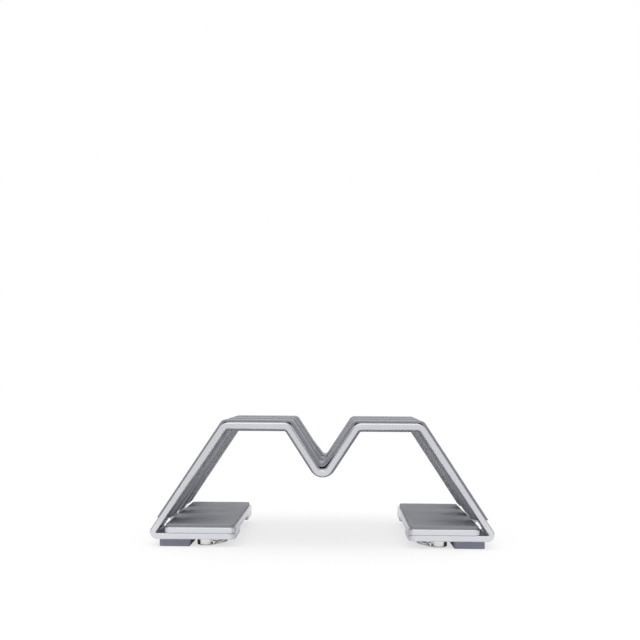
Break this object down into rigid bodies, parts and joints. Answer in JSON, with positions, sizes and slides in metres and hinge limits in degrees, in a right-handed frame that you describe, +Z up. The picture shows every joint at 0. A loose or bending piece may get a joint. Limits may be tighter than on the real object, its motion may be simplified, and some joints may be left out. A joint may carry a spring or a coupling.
{
  "type": "vertical laptop stand",
  "caption": "Bent aluminium desk stand that holds closed laptops on edge in slots of adjustable width, with silicone trims, rest liners, rubber feet and ring screws.",
  "frame": {"origin": "on the floor under the middle of the stand", "axes": "+X to the stand's right along the slots, +Y from the front bracket to the rear one, +Z up"},
  "size_m": [0.1768, 0.1038, 0.0649],
  "materials": {
    "anodised_aluminium": "bead-blasted and clear anodised, with a bright chamfer on the cut edges",
    "silicone": "smooth matt grey silicone",
    "foot_rubber": "matt grey rubber",
    "screw_steel": "turned and polished steel, nickel plated",
    "ring_steel": "drawn steel wire, nickel plated"
  },
  "bodies": {
    "centre_frame": {"centre_bracket": "anodised_aluminium", "centre_front_trim": "silicone", "centre_rear_trim": "silicone", "left_rest_liner": "silicone", "right_rest_liner": "silicone"},
    "front_slider": {"front_bracket": "anodised_aluminium", "front_edge_trim": "silicone", "front_left_foot": "foot_rubber", "front_right_foot": "foot_rubber"},
    "rear_slider": {"rear_bracket": "anodised_aluminium", "rear_edge_trim": "silicone", "rear_left_foot": "foot_rubber", "rear_right_foot": "foot_rubber"},
    "front_left_screw": {"front_left_screw": "screw_steel"},
    "front_left_ring": {"front_left_ring": "ring_steel"},
    "front_right_screw": {"front_right_screw": "screw_steel"},
    "front_right_ring": {"front_right_ring": "ring_steel"},
    "rear_left_screw": {"rear_left_screw": "screw_steel"},
    "rear_left_ring": {"rear_left_ring": "ring_steel"},
    "rear_right_screw": {"rear_right_screw": "screw_steel"},
    "rear_right_ring": {"rear_right_ring": "ring_steel"}
  },
  "joints": [
    {"name": "front_slide", "type": "slide", "parent": "centre_frame", "child": "front_slider", "axis": [0, -1, 0], "range_m": [-0.003, 0.009]},
    {"name": "rear_slide", "type": "slide", "parent": "centre_frame", "child": "rear_slider", "axis": [0, 1, 0], "range_m": [-0.003, 0.009]},
    {"name": "front_left_screw_turn", "type": "hinge", "parent": "centre_frame", "child": "front_left_screw", "pos_m": [-0.06057, -0.0429, 0.004], "axis": [0, 0, 1], "range_deg": [-90, 90]},
    {"name": "front_left_ring_fold", "type": "hinge", "parent": "front_left_screw", "child": "front_left_ring", "pos_m": [-0.05557, -0.0429, 0.0013], "axis": [0, 1, 0], "range_deg": [0, 150]},
    {"name": "front_right_screw_turn", "type": "hinge", "parent": "centre_frame", "child": "front_right_screw", "pos_m": [0.06057, -0.0429, 0.004], "axis": [0, 0, 1], "range_deg": [-90, 90]},
    {"name": "front_right_ring_fold", "type": "hinge", "parent": "front_right_screw", "child": "front_right_ring", "pos_m": [0.05557, -0.0429, 0.0013], "axis": [0, -1, 0], "range_deg": [0, 150]},
    {"name": "rear_left_screw_turn", "type": "hinge", "parent": "centre_frame", "child": "rear_left_screw", "pos_m": [-0.06057, 0.0429, 0.004], "axis": [0, 0, 1], "range_deg": [-90, 90]},
    {"name": "rear_left_ring_fold", "type": "hinge", "parent": "rear_left_screw", "child": "rear_left_ring", "pos_m": [-0.05557, 0.0429, 0.0013], "axis": [0, 1, 0], "range_deg": [0, 150]},
    {"name": "rear_right_screw_turn", "type": "hinge", "parent": "centre_frame", "child": "rear_right_screw", "pos_m": [0.06057, 0.0429, 0.004], "axis": [0, 0, 1], "range_deg": [-90, 90]},
    {"name": "rear_right_ring_fold", "type": "hinge", "parent": "rear_right_screw", "child": "rear_right_ring", "pos_m": [0.05557, 0.0429, 0.0013], "axis": [0, -1, 0], "range_deg": [0, 150]}
  ]
}
